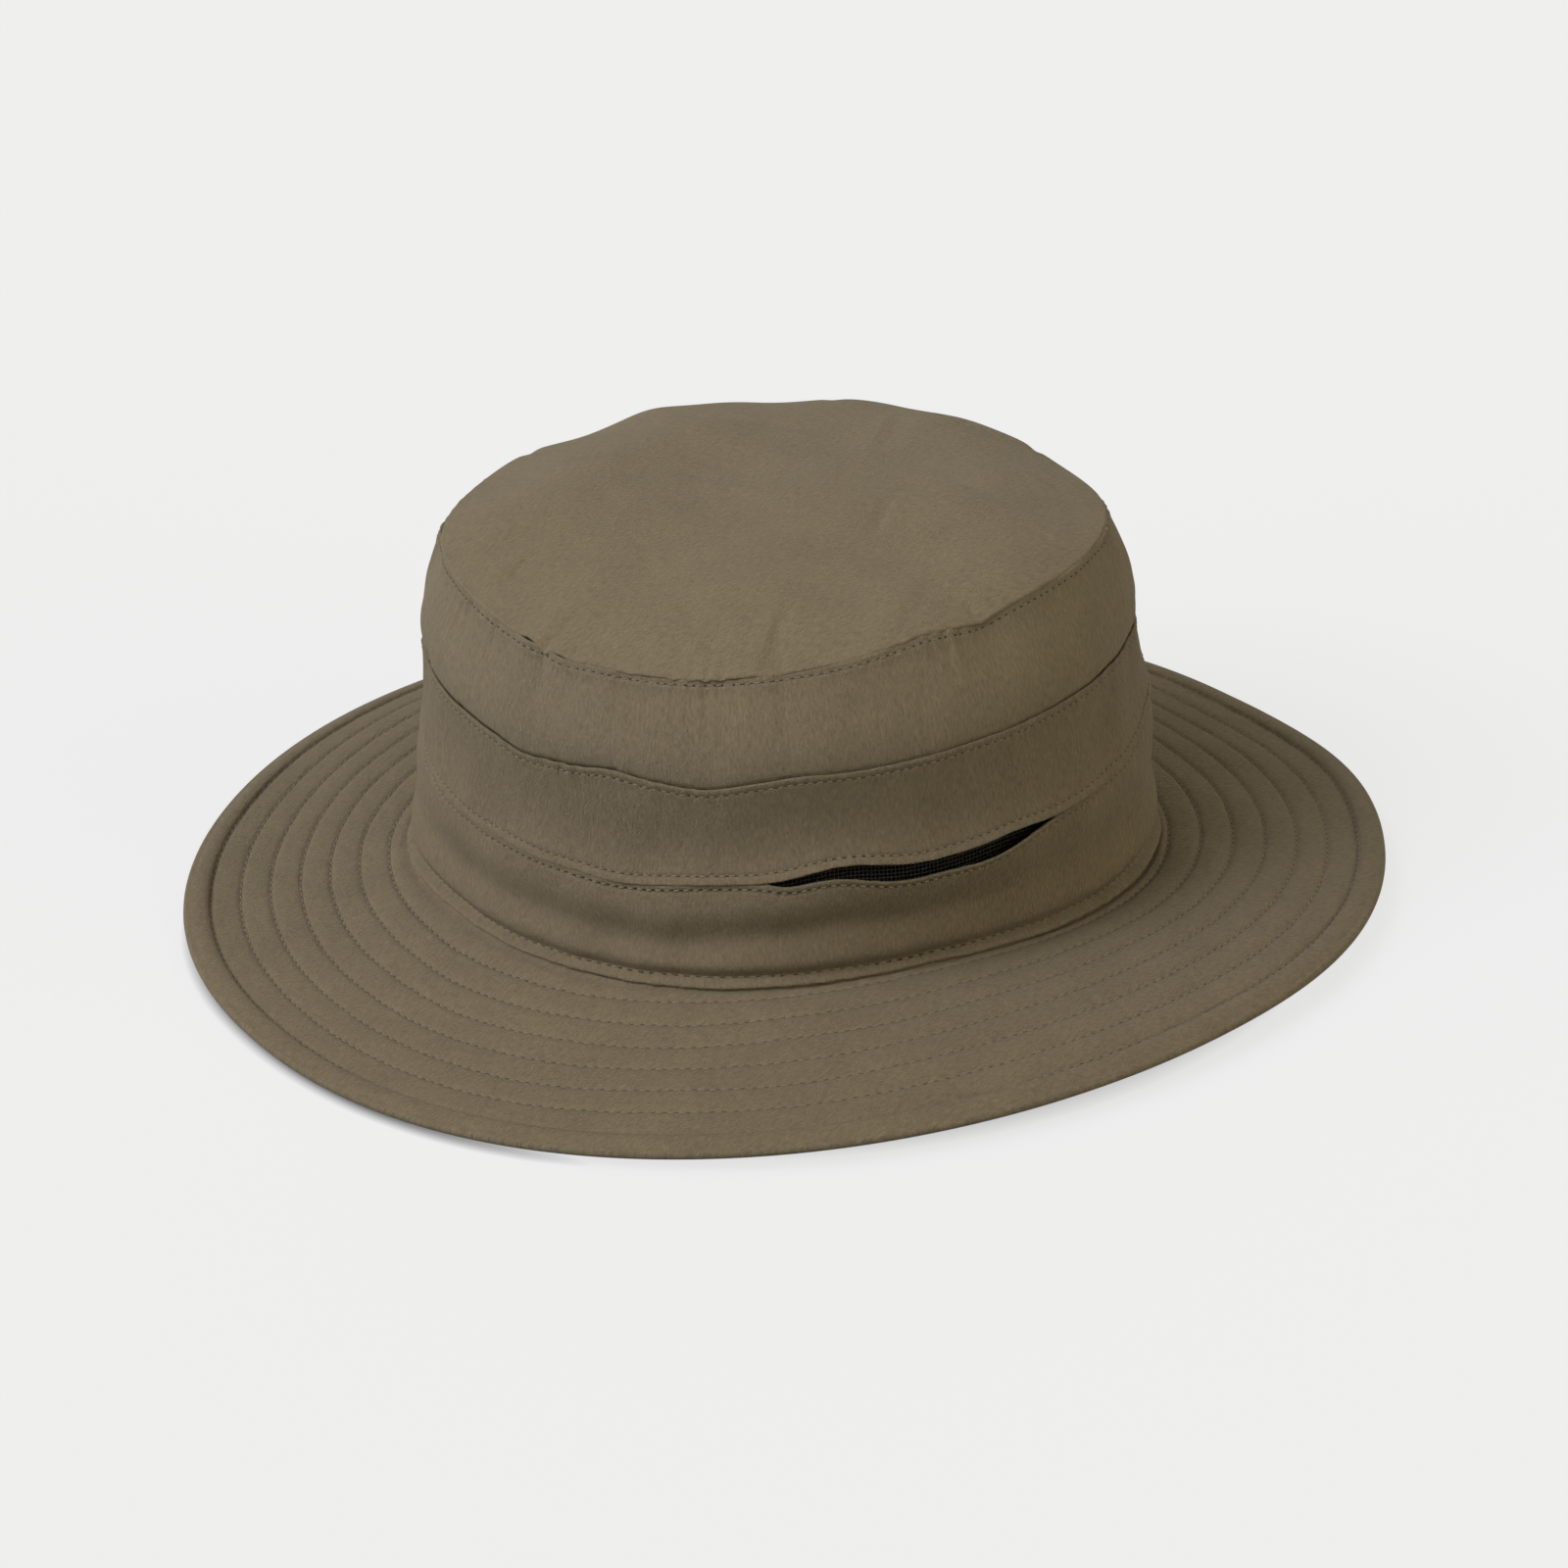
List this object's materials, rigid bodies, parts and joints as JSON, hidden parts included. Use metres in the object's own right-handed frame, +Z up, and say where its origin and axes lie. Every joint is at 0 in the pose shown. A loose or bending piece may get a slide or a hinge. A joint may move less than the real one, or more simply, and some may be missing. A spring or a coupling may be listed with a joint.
{
  "type": "boonie hat",
  "caption": "Soft sun hat with a panelled crown, slit side vents, a sweatband and a round brim stiffened by concentric stitching.",
  "frame": {"origin": "middle of the hat's box, on the surface that the brim rests on", "axes": "+Z up through the crown, the front of the hat towards -Y, the wearer's left towards +X"},
  "size_m": [0.318, 0.3286, 0.12],
  "materials": {
    "shell_cloth": "matte, fine plain weave",
    "under_cloth": "matte, fine plain weave",
    "vent_mesh": "matte open mesh",
    "interlining": "matte non-woven",
    "sweatband_cloth": "matte brushed knit",
    "seam_tape": "matte ribbed tape",
    "label_tape": "satin tape",
    "thread": "spun polyester"
  },
  "bodies": {
    "root": {"crown_tip": "shell_cloth", "upper_band": "shell_cloth", "middle_band": "shell_cloth", "lower_band": "shell_cloth", "vent_mesh_left": "vent_mesh", "vent_mesh_right": "vent_mesh", "brim_top": "shell_cloth", "brim_stiffener": "interlining", "brim_underside": "under_cloth", "sweatband": "sweatband_cloth", "tip_seam_tape": "seam_tape", "mid_seam_tape": "seam_tape", "care_label": "label_tape", "brim_stitch_row_1": "thread", "brim_stitch_row_2": "thread", "brim_stitch_row_3": "thread", "brim_stitch_row_4": "thread", "brim_stitch_row_5": "thread", "brim_stitch_row_6": "thread", "brim_stitch_row_7": "thread", "tip_seam_stitch": "thread", "mid_seam_stitch": "thread", "vent_stitch_upper": "thread", "vent_stitch_lower": "thread", "base_topstitch": "thread", "sweatband_stitch": "thread"}
  },
  "joints": []
}
